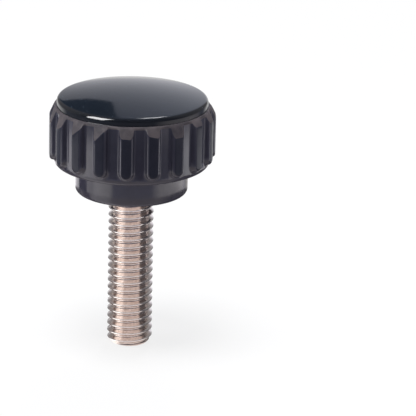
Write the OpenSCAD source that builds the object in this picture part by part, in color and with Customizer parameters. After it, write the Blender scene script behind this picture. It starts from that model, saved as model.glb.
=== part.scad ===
// Ribbed clamping knob, moulded round the head of a steel screw.
// The origin is the centre of the hub's end face: the grip is above it and the stud hangs below it.

/* [Grip] */
// Diameter over the crowns of the ribs
grip_d = 21.6; // [19:0.1:32]
// Height of the drum that carries the ribs
drum_h = 7.85; // [6:0.05:14]
// Rounding of the drum's lower edge
drum_round = 0.6; // [0.2:0.05:1]
// Width of the rounding on the drum's upper edge
rim_w = 0.25; // [0.1:0.05:0.5]
// Height of the rounding on the drum's upper edge
rim_h = 0.35; // [0.1:0.05:0.6]

/* [Ribs] */
// Number of ribs round the drum
rib_count = 19; // [12:1:21]
// How far a rib's crown stands out of the drum
rib_h = 0.7; // [0.5:0.05:1]
// Width of the flat along a rib's crown
rib_flat = 0.95; // [0.4:0.05:1.2]
// Radius of a rib's shoulders
rib_shoulder = 0.42; // [0.2:0.01:0.45]
// Lean of a rib's flanks, in degrees from its middle plane
rib_lean = 15; // [8:1:25]
// Radius of the fillet at a rib's foot
rib_fillet = 0.2; // [0.1:0.05:0.3]
// Height above the drum's underside at which a rib's rounded lower end begins
rib_start = 1.8; // [1.7:0.05:3]
// Height of the sloping cut at the top of each rib
rib_cut = 1.5; // [0.8:0.05:2.5]

/* [Dome] */
// Width of the ledge round the dome
ledge = 0.3; // [0.3:0.05:0.8]
// Height of the dome's straight wall
wall_h = 0.45; // [0.05:0.05:1]
// Radius of the dome's shoulder
shoulder_r = 0.6; // [0.2:0.05:1.5]
// Radius of the crown
crown_r = 44; // [30:1:120]

/* [Hub] */
// Diameter of the hub at its end face, before the edge is rounded
hub_d = 14.6; // [13.5:0.1:18]
// Height of the hub below the drum
hub_h = 3.8; // [2.5:0.05:8]
// Draft of the hub's side, in degrees
hub_draft = 0.8; // [0.2:0.1:2]
// Rounding of the hub's end edge
hub_round = 0.6; // [0.2:0.05:1]
// Fillet between the hub and the drum
hub_fillet = 0.3; // [0.1:0.05:0.6]

/* [Screw] */
// Diameter over the crests of the M6 thread
thread_d = 5.88; // [5:0.01:6.5]
// Pitch of the thread
pitch = 1; // [0.75:0.05:1.25]
// Length of the stud below the hub
stud_l = 20.8; // [10:0.1:60]
// Height of the chamfer at the stud's end
chamfer_h = 0.7; // [0.4:0.05:1]
// Lean of that chamfer, in degrees from the stud's axis
chamfer_lean = 42; // [30:1:50]
// Length of the shank inside the moulding, up to the head
buried_l = 3.8; // [2:0.1:8]
// Width of the hexagon head across its flats
head_af = 10; // [8:0.1:11]
// Height of the hexagon head
head_h = 4; // [2:0.1:5]
// Slope of the chamfer round the head's corners, in degrees
head_slope = 30; // [15:1:35]

/* [Hidden] */
$fn = 96;

grip_r = grip_d / 2;
drum_r = grip_r - rib_h;
drum_top = hub_h + drum_h;
dome_r = drum_r - ledge;
hub_r = hub_d / 2;
hub_top_r = hub_r + hub_h * tan(hub_draft);

// The crown and the shoulder meet where both have this slope.
crown_slope = asin((dome_r - shoulder_r) / (crown_r - shoulder_r));
shoulder_z = drum_top + wall_h;
crown_z = shoulder_z - (crown_r - shoulder_r) * cos(crown_slope);

// How deep a rib's section reaches into the drum, and how its fillet enters it: slope and depth.
rib_root = 0.5;
fillet_end = 12;
fillet_sink = 0.1;

// How far past the ribs and the screw's head a cutting shape reaches.
beyond = 1;

// Steps in a quarter of a round edge, in a fillet and along the crown.
edge_steps = 6;
fillet_steps = 3;
crown_steps = 8;

// The moulding grips the thread at its pitch diameter, which is 0.65 of a pitch under the crests,
// and narrows to it at 45 degrees from the hub's end face.
thread_r = thread_d / 2;
grip_thread_r = thread_r - 0.65 / 2 * pitch;
end_r = thread_r - chamfer_h * tan(chamfer_lean);
head_corner_r = head_af / 2 / cos(30);

// Points on an ellipse of half axes rx and ry about c, from angle a to angle b.
function arc(c, rx, ry, a, b, steps) =
    [for (i = [0:steps]) let (t = a + (b - a) * i / steps) c + [rx * cos(t), ry * sin(t)]];

// Outline of the turned form: hub, drum, ledge and dome.
module turned_outline() {
    polygon(concat(
        [[0, 0]],
        arc([hub_r - hub_round, hub_round], hub_round, hub_round, -90, 0, edge_steps),
        arc([hub_top_r + hub_fillet, hub_h - hub_fillet], hub_fillet, hub_fillet, 180, 90, fillet_steps),
        arc([drum_r - drum_round, hub_h + drum_round], drum_round, drum_round, -90, 0, edge_steps),
        arc([drum_r - rim_w, drum_top - rim_h], rim_w, rim_h, 0, 90, edge_steps),
        [[dome_r, drum_top]],
        arc([dome_r - shoulder_r, shoulder_z], shoulder_r, shoulder_r, 0, 90 - crown_slope, edge_steps),
        [for (i = [1:crown_steps]) let (t = crown_slope * (1 - i / crown_steps))
            [crown_r * sin(t), crown_z + crown_r * cos(t)]]
    ));
}

// Half of a rib's section: x across the rib from its middle plane, y out from the knob's axis.
module rib_half_section() {
    shoulder_x = rib_flat / 2;
    shoulder_y = grip_r - rib_shoulder;
    flank_x = shoulder_x + rib_shoulder * cos(rib_lean);
    flank_y = shoulder_y + rib_shoulder * sin(rib_lean);
    // The fillet's centre lies a radius above the drum and a radius off the flank.
    centre_y = drum_r + rib_fillet;
    centre_x = flank_x + (flank_y - centre_y) * tan(rib_lean) + rib_fillet / cos(rib_lean);
    fillet = arc([centre_x, centre_y], rib_fillet, rib_fillet, 180 + rib_lean, 270 - fillet_end, fillet_steps);
    last = fillet[fillet_steps];
    polygon(concat(
        [[0, drum_r - rib_root], [0, grip_r]],
        arc([shoulder_x, shoulder_y], rib_shoulder, rib_shoulder, 90, rib_lean, edge_steps),
        fillet,
        [[last[0] + fillet_sink / tan(fillet_end), last[1] - fillet_sink], [last[0], drum_r - rib_root]]
    ));
}

// One rib, out along +X: a straight run, and a rounded lower end turned about its own radial axis.
module rib() {
    start_z = hub_h + rib_start;
    translate([0, 0, start_z])
        linear_extrude(drum_top - start_z)
            rotate(-90) {
                rib_half_section();
                mirror([1, 0]) rib_half_section();
            }
    translate([0, 0, start_z])
        rotate([0, 90, 0]) rotate([0, 0, -90])
            rotate_extrude(angle = 180) rib_half_section();
}

// Everything inside the sloping cut that trims the tops of the ribs.
module rib_envelope() {
    rotate_extrude()
        polygon([
            [0, hub_h],
            [grip_r + beyond, hub_h],
            [grip_r + beyond, drum_top - rib_cut * (rib_h + beyond) / rib_h],
            [drum_r, drum_top],
            [0, drum_top]
        ]);
}

// The screw: chamfered stud, shank gripped by the moulding, and hexagon head.
module screw() {
    outer_r = head_corner_r + beyond;
    rotate_extrude()
        polygon([
            [0, -stud_l],
            [end_r, -stud_l],
            [thread_r, chamfer_h - stud_l],
            [thread_r, 0],
            [grip_thread_r, thread_r - grip_thread_r],
            [grip_thread_r, buried_l],
            [0, buried_l]
        ]);
    translate([0, 0, buried_l])
        intersection() {
            cylinder(h = head_h, r = head_corner_r, $fn = 6);
            rotate_extrude()
                polygon([
                    [0, 0],
                    [outer_r, 0],
                    [outer_r, head_h - (outer_r - head_af / 2) * tan(head_slope)],
                    [head_af / 2, head_h],
                    [0, head_h]
                ]);
        }
}

module knob_body() {
    color("#1b1a1f")
        difference() {
            union() {
                rotate_extrude() turned_outline();
                intersection() {
                    for (i = [0:rib_count - 1]) rotate(i * 360 / rib_count - 90) rib();
                    rib_envelope();
                }
            }
            screw();
        }
}

module threaded_stud() {
    color("#c9beb2") screw();
}

knob_body();
threaded_stud();
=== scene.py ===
"""Looks of the ribbed clamping knob: its moulded head, its rolled thread, the light and the camera."""

import math

import bmesh
import bpy
import numpy as np
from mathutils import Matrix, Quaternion, Vector


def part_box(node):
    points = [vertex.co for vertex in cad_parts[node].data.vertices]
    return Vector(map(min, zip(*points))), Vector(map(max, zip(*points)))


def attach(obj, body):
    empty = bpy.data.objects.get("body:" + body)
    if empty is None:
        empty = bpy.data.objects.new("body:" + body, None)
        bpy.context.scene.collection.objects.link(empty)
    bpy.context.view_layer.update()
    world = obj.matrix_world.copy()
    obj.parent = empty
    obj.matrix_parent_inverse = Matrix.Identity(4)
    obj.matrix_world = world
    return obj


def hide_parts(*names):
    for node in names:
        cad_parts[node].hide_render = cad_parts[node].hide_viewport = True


MM = 0.001

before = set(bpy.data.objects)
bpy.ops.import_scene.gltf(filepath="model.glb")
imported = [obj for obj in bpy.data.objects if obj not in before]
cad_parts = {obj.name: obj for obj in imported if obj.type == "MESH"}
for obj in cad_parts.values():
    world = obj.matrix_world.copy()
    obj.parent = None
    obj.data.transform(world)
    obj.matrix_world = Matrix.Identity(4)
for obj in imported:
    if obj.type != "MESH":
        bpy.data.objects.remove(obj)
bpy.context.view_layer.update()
body_low, body_high = (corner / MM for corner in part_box("knob_body"))
stud_low, stud_high = (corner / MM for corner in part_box("threaded_stud"))

# All sizes of the mesh are in millimetres. The origin is the centre of the hub's end face.
GRIP_R = -body_low.y
TOP = body_high.z
STUD_END = stud_low.z

# The drum and its ribs.
RIB_COUNT = 19
RIB_H = 0.7
RIB_FLAT = 0.95
RIB_SHOULDER = 0.42
RIB_LEAN = 15
RIB_FOOT = 0.3
DRUM_R = GRIP_R - RIB_H
HUB_H = 3.8
DRUM_TOP = 11.65
DRUM_ROUND = 0.6
NOSE_Z = HUB_H + 1.8
TRIM_H = 1.5
TRIM_ROUND = 0.1
# How far below a rib's crown its rubbed surface reaches, whose darker tone is also painted shade.
RUBBED_AND_SHADED_DEPTH = 0.03
RIM_W = 0.25
RIM_H = 0.35

# The dome.
DOME_R = 9.8
WALL_H = 0.45
SHOULDER_R = 0.6
CROWN_R = 44

# The hub.
HUB_R = 7.3
# The hub's side leans out to this radius where it meets the drum.
HUB_TOP_R = 7.354
HUB_ROUND = 0.6
HUB_FILLET = 0.3

# The screw, and its hexagon head in the moulding.
PITCH = 1.0
CREST_R = 2.94
ROOT_R = 2.37
THREAD_PHASE = 0.28
THREAD_SIDES = 96
# Places of the mesh's rings between a crest and the middle of the groove, in pitches.
THREAD_STEPS = (0.05, 0.062, 0.074, 0.14, 0.22, 0.3, 0.34, 0.375, 0.41, 0.45)
CHAMFER_END_R = 2.31
CHAMFER_LEAN = 42
# Roundings where the thread's crest, root, chamfer and mouth meet its flanks.
CREST_BLEND = 0.018
ROOT_BLEND = 0.12
CHAMFER_BLEND = 0.05
MOUTH_BLEND = 0.01
# Gap that keeps the thread's surface just inside the moulding's.
MOUTH_GAP = 0.005
SHANK_R = 2.615
SHANK_TOP = 3.8
HEAD_TOP = stud_high.z
HEAD_INNER_R = 5.0
HEAD_SLOPE = 30

# How each rib's top was trimmed: depth below the ledge at its middle, and how much deeper it gets for
# each millimetre across. Ribs are counted from the front towards +X. The others are drawn at random,
# by no more than the two spreads from TRIM_H and from level.
TRIMS = {
    15: (2.1, -0.2),
    16: (1.8, -0.5),
    17: (1.45, -0.8),
    18: (1.35, -1.15),
    0: (1.45, 0.05),
    1: (1.25, 0.25),
    2: (1.7, 0.0),
    3: (0.9, 0.0),
    4: (1.3, 0.1),
}
TRIM_LIMITS = (0.72, 2.6)
TRIM_SEED = 7
DEPTH_SPREAD = 0.3
SLANT_SPREAD = 0.4

# Places of the head's materials in its list.
POLISHED, TRIMMED, RUBBED_AND_SHADED = 1, 2, 3

HALF_SECTOR = math.pi / RIB_COUNT
# Points closer than this are one point.
MERGE = 0.0001
# Quads across half a groove, and down the drum beside a rib's nose.
GROOVE_STEPS = 3
SIDE_STEPS = 6
# Radii of one more ring under the drum, and of one across the hub's end face.
UNDER_DRUM_R = 8.6
END_FACE_R = 4.8
# Rings inside each of these radii keep one point in so many of the ring outside it.
CROWN_THINNING = [(7.5, 2), (4, 2), (1.8, 3), (0.7, 3)]
FOOT_THINNING = [(9, 2), (5, 2)]


def arc(centre, radii, start, stop, steps):
    """Points on an ellipse, from one angle to another in degrees."""
    angle = np.radians(np.linspace(start, stop, steps + 1))
    return np.array(centre) + np.column_stack((radii[0] * np.cos(angle), radii[1] * np.sin(angle)))


def soft_min(a, b, width):
    """The lower of a and b, with the corner between them rounded over that width."""
    return np.minimum(a, b) - np.maximum(width - np.abs(a - b), 0) ** 2 / (4 * width)


def soft_max(a, b, width):
    return -soft_min(-a, -b, width)


class Skin:
    """Collects grids of quads and joins them into one closed mesh."""

    def __init__(self):
        self.points, self.faces, self.paints = [], [], []
        self.count = 0

    def add_points(self, points):
        start = self.count
        self.points.append(points.reshape(-1, 3))
        self.count += len(self.points[-1])
        return start

    def grid(self, points, paint=0):
        """points is rows x columns x 3, and paint is one material number or one for each quad."""
        rows, columns = points.shape[:2]
        index = self.add_points(points) + np.arange(rows * columns).reshape(rows, columns)
        quads = np.stack((index[:-1, :-1], index[:-1, 1:], index[1:, 1:], index[1:, :-1]), axis=-1)
        self.faces += quads.reshape(-1, 4).tolist()
        self.paints += np.broadcast_to(paint, quads.shape[:2]).reshape(-1).tolist()

    def thinned_band(self, outer, inner, paint=0):
        """Joins a ring to a ring with a whole fraction of its points."""
        every = len(outer) // len(inner)
        first, second = self.add_points(outer), self.add_points(inner)
        for i in range(len(inner)):
            far = [first + (every * i + k) % len(outer) for k in range(every + 1)]
            near = [second + (i + 1) % len(inner), second + i]
            self.faces.append(far + near)
            self.paints.append(paint)

    def cap(self, ring, paint=0):
        start = self.add_points(ring)
        self.faces.append(list(range(start, start + len(ring))))
        self.paints.append(paint)

    def bmesh(self):
        mesh = bpy.data.meshes.new("skin")
        mesh.from_pydata(np.concatenate(self.points).tolist(), [], self.faces)
        mesh.polygons.foreach_set("material_index", self.paints)
        bm = bmesh.new()
        bm.from_mesh(mesh)
        bpy.data.meshes.remove(mesh)
        bmesh.ops.remove_doubles(bm, verts=bm.verts, dist=MERGE)
        return bm


def finish_piece(bm, name, materials, replaces):
    """Turns a mesh in millimetres into a smooth piece that stands for one node."""
    bmesh.ops.scale(bm, vec=(MM, MM, MM), verts=bm.verts)
    bmesh.ops.recalc_face_normals(bm, faces=bm.faces)
    mesh = bpy.data.meshes.new(name)
    bm.to_mesh(mesh)
    bm.free()
    for material in materials:
        mesh.materials.append(material)
    mesh.shade_smooth()
    piece = bpy.data.objects.new(name, mesh)
    bpy.context.scene.collection.objects.link(piece)
    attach(piece, "root")
    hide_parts(replaces)
    return piece


# ---- The moulded head ----


def rib_half_section():
    """From the middle of a rib's crown to the end of its foot: distance across, height above the drum."""
    flat = np.column_stack((np.linspace(0, RIB_FLAT / 2, 3), np.full(3, RIB_H)))
    shoulder = arc((RIB_FLAT / 2, RIB_H - RIB_SHOULDER), (RIB_SHOULDER, RIB_SHOULDER), 90, RIB_LEAN, 7)
    flank_x, flank_h = shoulder[-1]
    lean = math.radians(RIB_LEAN)
    foot_x = flank_x + (flank_h - RIB_FOOT) * math.tan(lean) + RIB_FOOT / math.cos(lean)
    foot = arc((foot_x, RIB_FOOT), (RIB_FOOT, RIB_FOOT), 180 + RIB_LEAN, 270, 5)
    return np.vstack((flat, shoulder[1:], foot))


def drum_radius(z):
    """Radius of the drum between the ribs, with its rounded lower edge."""
    below = np.maximum(HUB_H + DRUM_ROUND - z, 0)
    return DRUM_R - DRUM_ROUND + np.sqrt(DRUM_ROUND**2 - below**2)


def on_drum(tile, turn):
    """Wraps a tile of (across, z, height above the drum) round the drum, in the sector at that angle."""
    across, z, height = np.moveaxis(tile, -1, 0)
    radius = drum_radius(z) + np.minimum(height, 0)
    y = across * radius / DRUM_R
    x = np.sqrt(radius**2 - y**2) + np.maximum(height, 0)
    cos, sin = math.cos(turn), math.sin(turn)
    return np.stack((x * cos - y * sin, x * sin + y * cos, z), axis=-1)


def trim_height(z, trim_h):
    """Height above the drum at which the tops of the ribs are trimmed to a slope."""
    return RIB_H * (DRUM_TOP - z) / trim_h


def rib_side_tile(columns, heights, depth, slant):
    """A rib with half a groove on each side, up to the ledge. Returns the tile and its trimmed quads."""
    trim_h = np.clip(depth + slant * columns, *TRIM_LIMITS)
    rim_start = DRUM_TOP - RIM_H
    # Rows crowd round the edge of the trimmed slope, from margin below it to margin above it.
    margin = 0.3
    edge = np.minimum(DRUM_TOP - heights * trim_h / RIB_H, rim_start - margin - 0.05)
    rows = [NOSE_Z + (edge - margin - NOSE_Z) * s for s in np.linspace(0, 1, 11)]
    rows += [edge + offset for offset in (-0.15, -0.05, 0.05, 0.15, margin)]
    rows += [edge + margin + (rim_start - edge - margin) * s for s in (0.25, 0.5, 0.75, 1)]
    z = np.array(rows)
    trim = trim_height(z, trim_h)
    height = soft_min(np.broadcast_to(heights, z.shape), trim, TRIM_ROUND)
    side = np.stack((np.broadcast_to(columns, z.shape), z, height), axis=-1)
    first, corner, last = side[-1], np.array([0, DRUM_TOP, 0]), np.array([0, DRUM_TOP, -RIM_W])
    across = first * np.array([1, 0, 0])
    bends = [
        first * (1 - s) ** 2 + (across + corner) * 2 * s * (1 - s) + (across + last) * s**2
        for s in np.linspace(0, 1, 6)[1:]
    ]
    tile = np.concatenate((side, np.array(bends)))
    trimmed = np.zeros((len(tile), len(columns)), bool)
    trimmed[: len(z)] = heights > trim
    trimmed[len(z) - 1:] = True
    corners = (trimmed[:-1, :-1], trimmed[:-1, 1:], trimmed[1:, 1:], trimmed[1:, :-1])
    return tile, np.sum(corners, axis=0) >= 3


def nose_tiles(section, low_z):
    """A rib's ball-ended nose, and the drum round it down to low_z."""
    width = DRUM_R * math.sin(HALF_SECTOR)
    down = np.linspace(NOSE_Z, low_z, SIDE_STEPS + 1)
    bottom = np.linspace(width, -width, 2 * (len(section) + GROOVE_STEPS - 1) + 1)
    right_side = [(width, z) for z in down[:-1]]
    left_side = [(-width, z) for z in down[::-1][1:]]
    outline = np.array(right_side + [(x, low_z) for x in bottom] + left_side)
    angle = np.arctan2(NOSE_Z - outline[:, 1], outline[:, 0])
    spokes = np.column_stack((np.cos(angle), -np.sin(angle)))
    nose = [np.column_stack((d * spokes + (0, NOSE_Z), np.full(len(angle), h))) for d, h in section]
    foot = section[-1, 0] * spokes + (0, NOSE_Z)
    drum = [
        np.column_stack((foot * (1 - s) + outline * s, np.zeros(len(angle))))
        for s in np.linspace(0, 1, GROOVE_STEPS + 1)
    ]
    return np.array(nose), np.array(drum)


def ring(radius, z, angles):
    level = np.broadcast_to(z, angles.shape)
    return np.column_stack((radius * np.cos(angles), radius * np.sin(angles), level))


def turned(skin, profile, angles, paint=0):
    """A surface of revolution through a list of (radius, z)."""
    closed = np.append(angles, angles[0])
    skin.grid(np.array([ring(radius, z, closed) for radius, z in profile]), paint)


def stepped(skin, profile, angles, thinning, paint=0):
    """A surface of revolution whose rings lose points as they shrink. Returns the last ring's angles."""
    last = 0
    for limit, every in thinning:
        k = next(i for i, point in enumerate(profile) if point[0] < limit)
        turned(skin, profile[last:k], angles, paint)
        skin.thinned_band(ring(*profile[k - 1], angles), ring(*profile[k], angles[::every]), paint)
        angles, last = angles[::every], k
    turned(skin, profile[last:], angles, paint)
    return angles


def crown_profile():
    """The drum's ledge and the dome's wall, shoulder and crown, to near the axis."""
    slope = math.degrees(math.asin((DOME_R - SHOULDER_R) / (CROWN_R - SHOULDER_R)))
    ledge = [(DRUM_R - RIM_W, DRUM_TOP), (DOME_R, DRUM_TOP)]
    wall = [(DOME_R, DRUM_TOP + 0.03), (DOME_R, DRUM_TOP + WALL_H / 2)]
    shoulder = arc((DOME_R - SHOULDER_R, DRUM_TOP + WALL_H), (SHOULDER_R, SHOULDER_R), 0, 90 - slope, 12)
    crown = arc((0, TOP - CROWN_R), (CROWN_R, CROWN_R), 90 - slope, 89.7, 26)
    return ledge + wall + shoulder.tolist() + crown[1:].tolist()


def foot_profile(low_z):
    """From the drum's lower rounding under the drum, down the hub and across its end face to the screw."""
    start = math.degrees(math.asin((HUB_H + DRUM_ROUND - low_z) / DRUM_ROUND))
    edge = arc((DRUM_R - DRUM_ROUND, HUB_H + DRUM_ROUND), (DRUM_ROUND, -DRUM_ROUND), start, 90, 6)
    fillet = arc((HUB_TOP_R + HUB_FILLET, HUB_H - HUB_FILLET), (HUB_FILLET, HUB_FILLET), 90, 180, 5)
    hub_end = arc((HUB_R - HUB_ROUND, HUB_ROUND), (HUB_ROUND, -HUB_ROUND), 0, 90, 8)
    side_top, side_end = fillet[-1], hub_end[0]
    side = [tuple(side_top * (1 - s) + side_end * s) for s in (0.25, 0.5, 0.75)]
    mouth = [(CREST_R, 0), (SHANK_R, CREST_R - SHANK_R), (SHANK_R, SHANK_TOP)]
    drum_to_hub = edge.tolist() + [(UNDER_DRUM_R, HUB_H)] + fillet.tolist()
    return drum_to_hub + side + hub_end.tolist() + [(END_FACE_R, 0)] + mouth


def head_radius(angle):
    """Outline of the screw's hexagon head."""
    return HEAD_INNER_R / np.cos(np.mod(angle, math.pi / 3) - math.pi / 6)


def head_rings(angles):
    """The hexagon head, from the shank up to the edge of its flat top."""
    radius = head_radius(angles)
    slope_z = HEAD_TOP - (radius - HEAD_INNER_R) * math.tan(math.radians(HEAD_SLOPE))
    places = [(radius, SHANK_TOP), (radius, slope_z), (HEAD_INNER_R, HEAD_TOP)]
    return [ring(*place, angles) for place in places]


def sector_columns(section, width):
    """A whole sector's section, groove to groove: distances across, and heights above the drum."""
    groove = np.linspace(section[-1, 0], width, GROOVE_STEPS + 1)[1:]
    half = np.append(section[:, 0], groove)
    half_heights = np.append(section[:, 1], np.zeros(GROOVE_STEPS))
    return np.append(-half[:0:-1], half), np.append(half_heights[:0:-1], half_heights)


def crown_paint(heights):
    """The rubbed material, darkened as painted shade, between two neighbours that both lie on a rib's
    crown.
    """
    worn = heights > RIB_H - RUBBED_AND_SHADED_DEPTH
    return np.where(worn[:-1] & worn[1:], RUBBED_AND_SHADED, 0)


def ribbed_drum(skin, turns, section, columns, heights, low_z):
    """The drum with its ribs, a sector at a time."""
    nose, drum = nose_tiles(section, low_z)
    random = np.random.default_rng(TRIM_SEED)
    for rib, turn in enumerate(turns):
        depth = TRIM_H + random.uniform(-DEPTH_SPREAD, DEPTH_SPREAD)
        slant = random.uniform(-SLANT_SPREAD, SLANT_SPREAD)
        side, trimmed = rib_side_tile(columns, heights, *TRIMS.get(rib, (depth, slant)))
        skin.grid(on_drum(side, turn), np.where(trimmed, TRIMMED, crown_paint(heights)))
        skin.grid(on_drum(nose, turn), crown_paint(section[:, 1])[:, None])
        skin.grid(on_drum(drum, turn))


def moulded_head(materials):
    """The whole moulding: ribbed drum, ledge and dome above it, hub below it and the screw's pocket."""
    section = rib_half_section()
    width = DRUM_R * math.sin(HALF_SECTOR)
    columns, heights = sector_columns(section, width)
    low_z = HUB_H + DRUM_ROUND / 2
    turns = [math.radians(i * 360 / RIB_COUNT - 90) for i in range(RIB_COUNT)]
    skin = Skin()
    ribbed_drum(skin, turns, section, columns, heights, low_z)

    rib_angles = np.arcsin(columns[:-1] / DRUM_R)
    even_angles = np.arcsin(np.linspace(-width, width, len(columns))[:-1] / DRUM_R)
    upper = np.concatenate([turn + rib_angles for turn in turns])
    lower = np.concatenate([turn + even_angles for turn in turns])
    crown = crown_profile()
    last = stepped(skin, crown, upper, CROWN_THINNING, POLISHED)
    skin.cap(ring(*crown[-1], last), POLISHED)

    last = stepped(skin, foot_profile(low_z), lower, FOOT_THINNING)
    cavity = [ring(SHANK_R, SHANK_TOP, last)] + head_rings(last)
    skin.grid(np.array([np.vstack((row, row[:1])) for row in cavity]))
    skin.cap(cavity[-1])
    return finish_piece(skin.bmesh(), "moulded_head", materials, "knob_body")


# ---- The screw ----


def thread_radius(crest_offset, z):
    """Radius of the thread, from the distance along the axis to its nearest crest."""
    flank = CREST_R - (crest_offset - PITCH / 16) * math.sqrt(3)
    radius = soft_max(soft_min(CREST_R, flank, CREST_BLEND), ROOT_R, ROOT_BLEND)
    chamfer = CHAMFER_END_R + (z - STUD_END) * math.tan(math.radians(CHAMFER_LEAN))
    mouth = np.maximum(CREST_R - np.maximum(z, 0), SHANK_R)
    return soft_min(soft_min(radius, chamfer, CHAMFER_BLEND), mouth - MOUTH_GAP, MOUTH_BLEND)


def edge_ring(bm, high):
    """The open edges at the top or the bottom of a tube."""
    middle = (STUD_END + SHANK_TOP) / 2
    return [e for e in bm.edges if e.is_boundary and (e.verts[0].co.z > middle) == high]


def threaded_tube(around):
    """The thread's surface with its helix, a little longer than the stud and its shank."""
    offsets = np.array([-0.5, *(-np.array(THREAD_STEPS[::-1])), 0, *THREAD_STEPS]) * PITCH
    first = math.floor(STUD_END) - 1
    last = math.ceil(SHANK_TOP) + 1
    along = np.add.outer(np.arange(first, last) * PITCH, offsets).reshape(-1)
    rise, column = np.meshgrid(along, np.arange(around + 1), indexing="ij")
    z = rise + column / around * PITCH + THREAD_PHASE
    offset = np.broadcast_to(np.abs(np.tile(offsets, last - first))[:, None], z.shape)
    radius = thread_radius(offset, z)
    angle = column / around * 2 * math.pi
    skin = Skin()
    skin.grid(np.stack((radius * np.cos(angle), radius * np.sin(angle), z), axis=-1))
    return skin.bmesh()


def cut_off(bm, level, up):
    """Cuts a mesh at that height and drops what lies past it, upwards or downwards."""
    everything = list(bm.verts) + list(bm.edges) + list(bm.faces)
    place, facing = (0, 0, level), (0, 0, up)
    bmesh.ops.bisect_plane(bm, geom=everything, plane_co=place, plane_no=facing, clear_outer=True)


def screw(materials):
    """The chamfered stud with its thread, the shank in the moulding and the hexagon head."""
    bm = threaded_tube(THREAD_SIDES)
    cut_off(bm, STUD_END, -1)
    cut_off(bm, SHANK_TOP, 1)

    # The head's underside, its six sides and the slope up to its flat top.
    for step in range(3):
        raised = bmesh.ops.extrude_edge_only(bm, edges=edge_ring(bm, True))["geom"]
        for vertex in (v for v in raised if isinstance(v, bmesh.types.BMVert)):
            turn = np.array([math.atan2(vertex.co.y, vertex.co.x)])
            vertex.co = head_rings(turn)[step][0]
    for high in (True, False):
        bmesh.ops.edgenet_fill(bm, edges=edge_ring(bm, high))
    return finish_piece(bm, "threaded_screw", materials, "threaded_stud")


# ---- Materials ----

# Most values of a noise texture lie between these.
NOISE_SPAN = (0.3, 0.7)


class Nodes:
    """Short calls for building a node tree."""

    def __init__(self, tree):
        self.tree = tree
        tree.nodes.clear()

    def add(self, kind, inputs=None, **settings):
        node = self.tree.nodes.new("ShaderNode" + kind)
        for key, value in settings.items():
            setattr(node, key, value)
        for key, value in (inputs or {}).items():
            if isinstance(value, bpy.types.NodeSocket):
                self.tree.links.new(value, node.inputs[key])
            else:
                node.inputs[key].default_value = value
        return node

    def object_mm(self, stretch=(1, 1, 1)):
        """Object coordinates in millimetres, stretched along each axis."""
        place = self.add("TexCoord").outputs["Object"]
        scale = [s / MM for s in stretch]
        return self.add("Mapping", {"Vector": place, "Scale": scale}).outputs["Vector"]

    def reach(self):
        """Distance from the knob's axis in millimetres."""
        flat = self.vector("MULTIPLY", self.object_mm(), (1, 1, 0)).outputs[0]
        return self.vector("LENGTH", flat).outputs["Value"]

    def noise(self, vector, scale, detail=3, roughness=0.55):
        settings = {"Vector": vector, "Scale": scale, "Detail": detail, "Roughness": roughness}
        return self.add("TexNoise", settings).outputs["Fac"]

    def remap(self, value, low, high, to_low, to_high):
        settings = {"Value": value, "From Min": low, "From Max": high, "To Min": to_low, "To Max": to_high}
        return self.add("MapRange", settings).outputs["Result"]

    def vector(self, operation, a, b=(0, 0, 0)):
        return self.add("VectorMath", {0: a, 1: b}, operation=operation)

    def maths(self, operation, a, b=0.0):
        return self.add("Math", {0: a, 1: b}, operation=operation).outputs["Value"]

    def blend(self, factor, a, b):
        """Colour a where the factor is 0, and b where it is 1."""
        return self.add("Mix", {"Factor": factor, "A": a, "B": b}, data_type="RGBA").outputs["Result"]

    def mix_shaders(self, factor, a, b):
        mix = self.add("MixShader", {"Fac": factor})
        self.tree.links.new(a.outputs[0], mix.inputs[1])
        self.tree.links.new(b.outputs[0], mix.inputs[2])
        return mix

    def bump(self, height, strength, distance):
        settings = {"Height": height, "Strength": strength, "Distance": distance}
        return self.add("Bump", settings).outputs["Normal"]

    def for_camera(self):
        """1 for what the camera sees, and 0 for what the knob sees."""
        ray = self.add("LightPath").outputs
        return self.maths("MAXIMUM", ray["Is Camera Ray"], ray["Is Transmission Ray"])

    def finish(self, shader, kind="OutputMaterial"):
        """Links the shader to the end of the tree."""
        output = self.add(kind)
        self.tree.links.new(shader.outputs[0], output.inputs["Surface"])


def blank_material(name):
    material = bpy.data.materials.new(name)
    material.use_nodes = True
    return material, Nodes(material.node_tree)


def principled_material(name):
    material, nodes = blank_material(name)
    shader = nodes.add("BsdfPrincipled")
    nodes.finish(shader)
    return material, nodes, shader


def connect(nodes, shader, **sockets):
    """Links values to the shader's sockets, whose names are written with _ for a space."""
    for name, value in sockets.items():
        nodes.tree.links.new(value, shader.inputs[name.replace("_", " ")])


def drawn_phenolic(name, mottle, dark, light, smooth, dull):
    """Moulded phenolic: mottled tone, uneven shine, and faint marks where it was drawn from its mould."""
    material, nodes, shader = principled_material(name)
    place = nodes.object_mm()
    drag = nodes.noise(nodes.object_mm((1, 1, 0.12)), 2.5, 3)
    colour = nodes.blend(nodes.noise(place, mottle), (*dark, 1), (*light, 1))
    rough = nodes.remap(nodes.noise(place, 1.3, 4), *NOISE_SPAN, smooth, dull)
    marks = nodes.bump(drag, 0.15, 0.03 * MM)
    connect(nodes, shader, Base_Color=colour, Roughness=rough, Normal=marks)
    return material, shader


def moulded_phenolic():
    """Black moulding of the drum and the hub, with a soft shine."""
    dark, light = (0.038, 0.039, 0.058), (0.053, 0.052, 0.074)
    return drawn_phenolic("phenolic_moulded", 0.5, dark, light, 0.08, 0.14)[0]


def rubbed_and_shaded_phenolic():
    """Darker, duller crowns of the ribs, rubbed by fingers; their darkness is also painted shade, for the
    dark room that their gloss shows.
    """
    dark, light = (0.022, 0.024, 0.036), (0.032, 0.034, 0.050)
    material, shader = drawn_phenolic("phenolic_rubbed_and_shaded", 0.8, dark, light, 0.13, 0.22)
    # A weak shine: painted shade that keeps the crowns dark whatever they reflect.
    shader.inputs["Specular IOR Level"].default_value = 0.12
    return material


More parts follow.
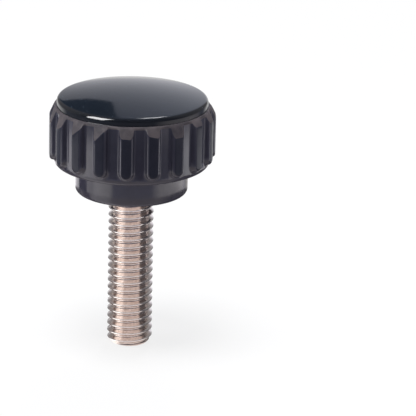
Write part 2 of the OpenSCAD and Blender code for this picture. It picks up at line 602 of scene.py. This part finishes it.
def polished_phenolic():
    """Polished black dome, hardly wavy."""
    material, nodes, shader = principled_material("phenolic_polished")
    place = nodes.object_mm()
    colour = nodes.blend(nodes.noise(place, 0.4), (0.008, 0.010, 0.014, 1), (0.012, 0.014, 0.019, 1))
    rough = nodes.remap(nodes.noise(place, 2.5, 4), *NOISE_SPAN, 0.06, 0.11)
    waves = nodes.bump(nodes.noise(place, 0.7), 0.1, 0.04 * MM)
    connect(nodes, shader, Base_Color=colour, Roughness=rough, Normal=waves)
    return material


def trimmed_phenolic():
    """Brown where the moulding's flash was trimmed off the ribs."""
    material, nodes, shader = principled_material("phenolic_trimmed")
    place = nodes.object_mm()
    patches = nodes.remap(nodes.noise(place, 0.5, 5), 0.35, 0.65, 0, 1)
    colour = nodes.blend(patches, (0.052, 0.047, 0.056, 1), (0.102, 0.088, 0.095, 1))
    rough = nodes.remap(nodes.noise(place, 3), *NOISE_SPAN, 0.6, 0.8)
    cuts = nodes.noise(nodes.object_mm((1, 1, 8)), 2, 4)
    shader.inputs["Specular IOR Level"].default_value = 0.2
    scored = nodes.bump(cuts, 0.3, 0.05 * MM)
    connect(nodes, shader, Base_Color=colour, Roughness=rough, Normal=scored)
    return material


def rolled_steel():
    """Rolled steel thread: marks run round it, its crests are lighter and paler, its grooves are stained.
    """
    material, nodes, shader = principled_material("rolled_steel")
    marks = nodes.noise(nodes.object_mm((0.25, 0.25, 9)), 1.4, 5)
    stains = nodes.noise(nodes.object_mm((1, 1, 1.5)), 0.7, 4)
    ragged = nodes.maths("ADD", nodes.reach(), nodes.remap(marks, *NOISE_SPAN, -0.06, 0.06))
    crest = nodes.remap(ragged, CREST_R - 0.2, CREST_R - 0.03, 0, 1)
    specks = nodes.noise(nodes.object_mm((1, 1, 2.5)), 3.5, 4, 0.6)
    bands = nodes.remap(marks, 0.35, 0.65, 0, 1)
    groove = nodes.blend(bands, (0.80, 0.705, 0.66, 1), (0.99, 0.925, 0.89, 1))
    groove = nodes.blend(nodes.remap(specks, 0.42, 0.62, 0, 0.55), groove, (0.60, 0.51, 0.45, 1))
    groove = nodes.blend(nodes.remap(stains, 0.45, 0.75, 0, 0.5), groove, (0.82, 0.71, 0.645, 1))
    colour = nodes.blend(crest, groove, (0.97, 0.93, 0.905, 1))
    rough = nodes.remap(marks, *NOISE_SPAN, 0.12, 0.24)
    shader.inputs["Metallic"].default_value = 1
    grained = nodes.bump(marks, 0.25, 0.03 * MM)
    connect(nodes, shader, Base_Color=colour, Roughness=rough, Normal=grained)
    return material


# ---- Stage, light and camera ----

# The floor's rings that show in the knob, in metres from its axis. Up to STUD_REACH they show in the
# stud, up to HUB_REACH in the hub, up to WALL_REACH in the ribs, and past that in the dome's wall.
STUD_REACH = 0.063
HUB_REACH = 0.076
WALL_REACH = 0.1036
# Each ring has a plain colour, and strips laid over it one after the other. A strip has its azimuth,
# the half widths in degrees at which it has faded out and at which it is full, and its colour.
# The floor glows with these colours for the knob instead of being lit: painted light and shade, bright
# strips as painted pools of light and dark ones as painted shade.
STUD_FLOOR = (0.14, 0.13, 0.13)
STUD_STRIPS = [
    (-18, 108, 78, (0.78, 0.71, 0.70)),
    # Painted shadow: the stud's own shadow on the floor, cast towards its left.
    (-98, 14, 8, (0.15, 0.11, 0.10)),
    (-59, 26, 15, (1.42, 1.36, 1.34)),
]
HUB_FLOOR = (0.62, 0.62, 0.78)
HUB_STRIPS = [
    (-72, 44, 28, (1.4, 1.35, 1.35)),
    (-56, 24, 12, (2.4, 2.3, 2.3)),
    (165, 32, 22, (0.72, 0.69, 0.68)),
    (92, 49, 29, (2.1, 2.0, 2.0)),
    (-111, 17, 13, (0.02, 0.02, 0.03)),
    (-150, 26, 20, (1.4, 1.35, 1.4)),
]
RIB_FLOOR = (0.32, 0.34, 0.42)
RIB_STRIPS = [
    (10, 50, 20, (0.03, 0.03, 0.05)),
    (-76, 27, 20, (2.6, 2.52, 2.56)),
    (100, 22, 15, (2.5, 2.5, 2.6)),
]
WALL_FLOOR = (0.2, 0.21, 0.27)
WALL_STRIPS = [(80, 45, 20, (0.9, 0.85, 0.9))]
# Laid over the two outer rings.
BACK_STRIP = (-168, 58, 44, (1, 1, 1))
# The dark patch of painted shade low on the hub's right side shows the inner edge of its ring.
PATCH_REACH = 0.065
PATCH = (118, 32, 20)
PATCH_COLOUR = (0.02, 0.02, 0.03)

# The floor's white paper. For the camera it turns to plain white further out: two distances from the
# knob's axis, and the share of plain white up to the first and from the second.
PAPER = (0.88, 0.88, 0.88, 1)
FADE = (0.05, 0.25, 0.8, 1)
FLOOR_SIZE = 4

# The surroundings that the knob sees: behind it at the horizon and high up, at its sides, in front.
HORIZON = (0.81, 0.81, 0.87, 1)
HIGH_SKY = (0.30, 0.345, 0.45, 1)
SIDES = (0.27, 0.26, 0.26, 1)
DIM_ROOM = (0.06, 0.06, 0.08, 1)
WHITE = (1, 1, 1, 1)
# They change over these stretches of the direction looked along: upwards, rightwards, or away from
# the camera, each from -1 to 1.
SKY_RISE = (0, 0.75)
LEFT_END = (-0.3, -0.44)
RIGHT_END = (0.27, 0.4)
ROOM_END = (-0.3, 0.15)
# The backdrop gets brighter rightwards: a stretch, and its brightness at the left and at the right.
BRIGHTENING = (-0.2, 0.08, 0.74, 1.32)

# Cards that only show in gloss. The corners of the two behind the knob are azimuth and elevation, and
# those of the one close beside the stud are azimuth and height in millimetres.
CARD_DISTANCE = 0.8
CARD_BEHIND = [(-172, 46), (-172.5, 30), (-169, 24.5), (-162, 18), (-157, 14), (-157, 46)]
CARD_LEFT = [(-150, 26), (-128, 26), (-128, 56), (-150, 56)]
STUD_CARD_DISTANCE = 0.009
CARD_BESIDE = [(58, STUD_END), (102.5, STUD_END), (102.5, -0.3), (58, -0.3)]


def on_sky(azimuth, elevation=0.0, distance=1.0):
    """A point seen from the knob in that direction, with azimuth counted from the front towards +X."""
    a, e = math.radians(azimuth), math.radians(elevation)
    level = distance * math.cos(e)
    return level * math.sin(a), -level * math.cos(a), distance * math.sin(e)


def floor_glow(nodes):
    """The glow that the knob sees at each place of the floor and is lit by: painted light and shade."""
    place = nodes.add("TexCoord").outputs["Object"]
    reach = nodes.vector("LENGTH", place).outputs["Value"]
    way = nodes.vector("NORMALIZE", place).outputs[0]

    def within(azimuth, outer, inner):
        """1 up to the inner angle from that azimuth, and 0 past the outer angle."""
        facing = nodes.vector("DOT_PRODUCT", way, on_sky(azimuth)).outputs["Value"]
        return nodes.remap(facing, math.cos(math.radians(outer)), math.cos(math.radians(inner)), 0, 1)

    def past(radius, width):
        """0 up to that radius, and 1 from that width past it."""
        return nodes.remap(reach, radius, radius + width, 0, 1)

    def ringed(plain, strips):
        colour = (*plain, 1)
        for azimuth, outer, inner, tone in strips:
            colour = nodes.blend(within(azimuth, outer, inner), colour, (*tone, 1))
        return colour

    inside = nodes.maths("SUBTRACT", 1, past(PATCH_REACH, 0.001))
    patch = nodes.maths("MULTIPLY", within(*PATCH), inside)
    for_hub = nodes.blend(patch, ringed(HUB_FLOOR, HUB_STRIPS), (*PATCH_COLOUR, 1))
    for_ribs = ringed(RIB_FLOOR, RIB_STRIPS)
    beyond = nodes.blend(past(WALL_REACH, 0.001), for_ribs, ringed(WALL_FLOOR, WALL_STRIPS))
    *back, white = BACK_STRIP
    beyond = nodes.blend(within(*back), beyond, (*white, 1))
    near = nodes.blend(past(STUD_REACH, 0.002), ringed(STUD_FLOOR, STUD_STRIPS), for_hub)
    return nodes.blend(past(HUB_REACH, 0.006), near, beyond)


def pale_floor():
    """White paper that keeps the knob's shadow. The knob itself sees it glow with the painted light and
    shade of the rings and strips.
    """
    bpy.ops.mesh.primitive_plane_add(size=FLOOR_SIZE, location=(0, 0, STUD_END * MM))
    floor = bpy.context.object
    floor.name = "floor"
    material, nodes = blank_material("pale_floor")
    paper = nodes.add("BsdfDiffuse", {"Color": PAPER})
    white = nodes.add("Emission", {"Color": WHITE, "Strength": 1})
    glow = nodes.add("Emission", {"Color": floor_glow(nodes), "Strength": 1})
    reach = nodes.vector("LENGTH", nodes.add("TexCoord").outputs["Object"]).outputs["Value"]
    fade = nodes.remap(reach, *FADE)
    photographed = nodes.mix_shaders(fade, paper, white)
    nodes.finish(nodes.mix_shaders(nodes.for_camera(), glow, photographed))
    floor.data.materials.append(material)


def studio_world():
    """White to the camera. The knob sees a pale backdrop, its dim ends and a dark room in front."""
    world = bpy.data.worlds.new("studio")
    bpy.context.scene.world = world
    world.use_nodes = True
    nodes = Nodes(world.node_tree)
    place = nodes.add("TexCoord").outputs["Generated"]
    way = nodes.add("SeparateXYZ", {"Vector": place}).outputs
    backdrop = nodes.blend(nodes.remap(way["Z"], *SKY_RISE, 0, 1), HORIZON, HIGH_SKY)
    brightness = nodes.remap(way["X"], *BRIGHTENING)
    scaled = nodes.add("VectorMath", {0: backdrop, "Scale": brightness}, operation="SCALE")
    left = nodes.remap(way["X"], *LEFT_END, 0, 1)
    right = nodes.remap(way["X"], *RIGHT_END, 0, 1)
    backdrop = nodes.blend(nodes.maths("MAXIMUM", left, right), scaled.outputs[0], SIDES)
    behind = nodes.remap(way["Y"], *ROOM_END, 0, 1)
    room = nodes.blend(behind, DIM_ROOM, backdrop)
    colour = nodes.blend(nodes.for_camera(), room, WHITE)
    nodes.finish(nodes.add("Background", {"Color": colour, "Strength": 1}), "OutputWorld")


def soft_box(name, direction, distance, width, height, radiance, in_gloss=True, in_light=True):
    """A lamp facing the knob, not seen by the camera. It may be left out of gloss or of plain light."""
    lamp = bpy.data.lights.new(name, "AREA")
    lamp.shape = "RECTANGLE"
    lamp.size, lamp.size_y = width, height
    lamp.energy = radiance * math.pi * width * height
    box = bpy.data.objects.new(name, lamp)
    box.location = Vector(direction).normalized() * distance
    box.rotation_mode = "QUATERNION"
    box.rotation_quaternion = box.location.to_track_quat("Z", "Y")
    box.visible_camera = False
    box.visible_glossy = in_gloss
    box.visible_diffuse = in_light
    bpy.context.scene.collection.objects.link(box)
    return box


def studio_lamps(head):
    """Soft light from above, a weak wash from each side, and a window that lights the head only."""
    # After its name, each has its direction, distance, width, height and radiance.
    soft_box("overhead", (-0.1, -0.15, 1), 1.0, 0.4, 0.4, 17, in_gloss=False)
    window = soft_box("window_left", on_sky(-55, 34), 1.0, 0.5, 0.8, 18, in_light=False)
    lit = bpy.data.collections.new("lit_by_window")
    lit.objects.link(head)
    window.light_linking.receiver_collection = lit
    soft_box("overhead_back", (0.07, 0.60, 0.79), 1.0, 0.13, 0.13, 20)
    soft_box("wash_left", (-1, 0.0, 0.12), 0.5, 0.4, 0.3, 5, in_gloss=False)
    soft_box("wash_right", (1, 0.05, 0.12), 0.5, 0.4, 0.3, 2, in_gloss=False)


def gloss_card(name, colour, corners):
    """A card that only shows in the gloss of the knob. Its corners are in metres."""
    mesh = bpy.data.meshes.new(name)
    mesh.from_pydata(corners, [], [tuple(range(len(corners)))])
    card = bpy.data.objects.new(name, mesh)
    bpy.context.scene.collection.objects.link(card)
    material, nodes = blank_material(name)
    nodes.finish(nodes.add("Emission", {"Color": (*colour, 1), "Strength": 1}))
    mesh.materials.append(material)
    card.visible_camera = card.visible_diffuse = False
    card.visible_shadow = card.visible_transmission = False


def studio_cards():
    """Two cards hang behind the knob, and one stands close beside its stud."""
    behind = [on_sky(*corner, CARD_DISTANCE) for corner in CARD_BEHIND]
    gloss_card("card_behind", (0.02, 0.045, 0.08), behind)
    left = [on_sky(*corner, CARD_DISTANCE) for corner in CARD_LEFT]
    gloss_card("card_left", (0.28, 0.25, 0.25), left)
    beside = [(*on_sky(azimuth, 0, STUD_CARD_DISTANCE)[:2], z * MM) for azimuth, z in CARD_BESIDE]
    gloss_card("card_beside", (0.10, 0.095, 0.105), beside)


# Where the photographer stood: distance and direction from the hub's end face, and that face's place
# on the sensor, right of and above its middle, in millimetres. Angles are in degrees, and the distance
# is in metres.
CAMERA_DISTANCE = 0.4536
CAMERA_AZIMUTH = 3.9
CAMERA_ELEVATION = 18.43
CAMERA_ROLL = 0.80
LENS = 301.9
SENSOR_WIDTH = 36
SEAT_ON_SENSOR = (-6.631, 1.546)


def product_camera():
    """The photographer's camera, turned so that the hub's end face falls on its place on the sensor."""
    back = Vector(on_sky(CAMERA_AZIMUTH, CAMERA_ELEVATION))
    data = bpy.data.cameras.new("camera")
    data.sensor_width = SENSOR_WIDTH
    data.lens = LENS
    data.clip_start, data.clip_end = 0.01, 10
    camera = bpy.data.objects.new("camera", data)
    camera.location = back * CAMERA_DISTANCE
    facing = (-back).to_track_quat("-Z", "Y") @ Quaternion((0, 0, 1), math.radians(CAMERA_ROLL))
    seat = Vector((*SEAT_ON_SENSOR, -LENS))
    camera.rotation_mode = "QUATERNION"
    camera.rotation_quaternion = facing @ Vector((0, 0, -1)).rotation_difference(seat).inverted()
    bpy.context.scene.collection.objects.link(camera)
    bpy.context.scene.camera = camera


head = moulded_head([moulded_phenolic(), polished_phenolic(), trimmed_phenolic(), rubbed_and_shaded_phenolic()])
screw([rolled_steel()])
pale_floor()
studio_world()
studio_lamps(head)
studio_cards()
product_camera()
bpy.context.scene.view_settings.view_transform = "Standard"
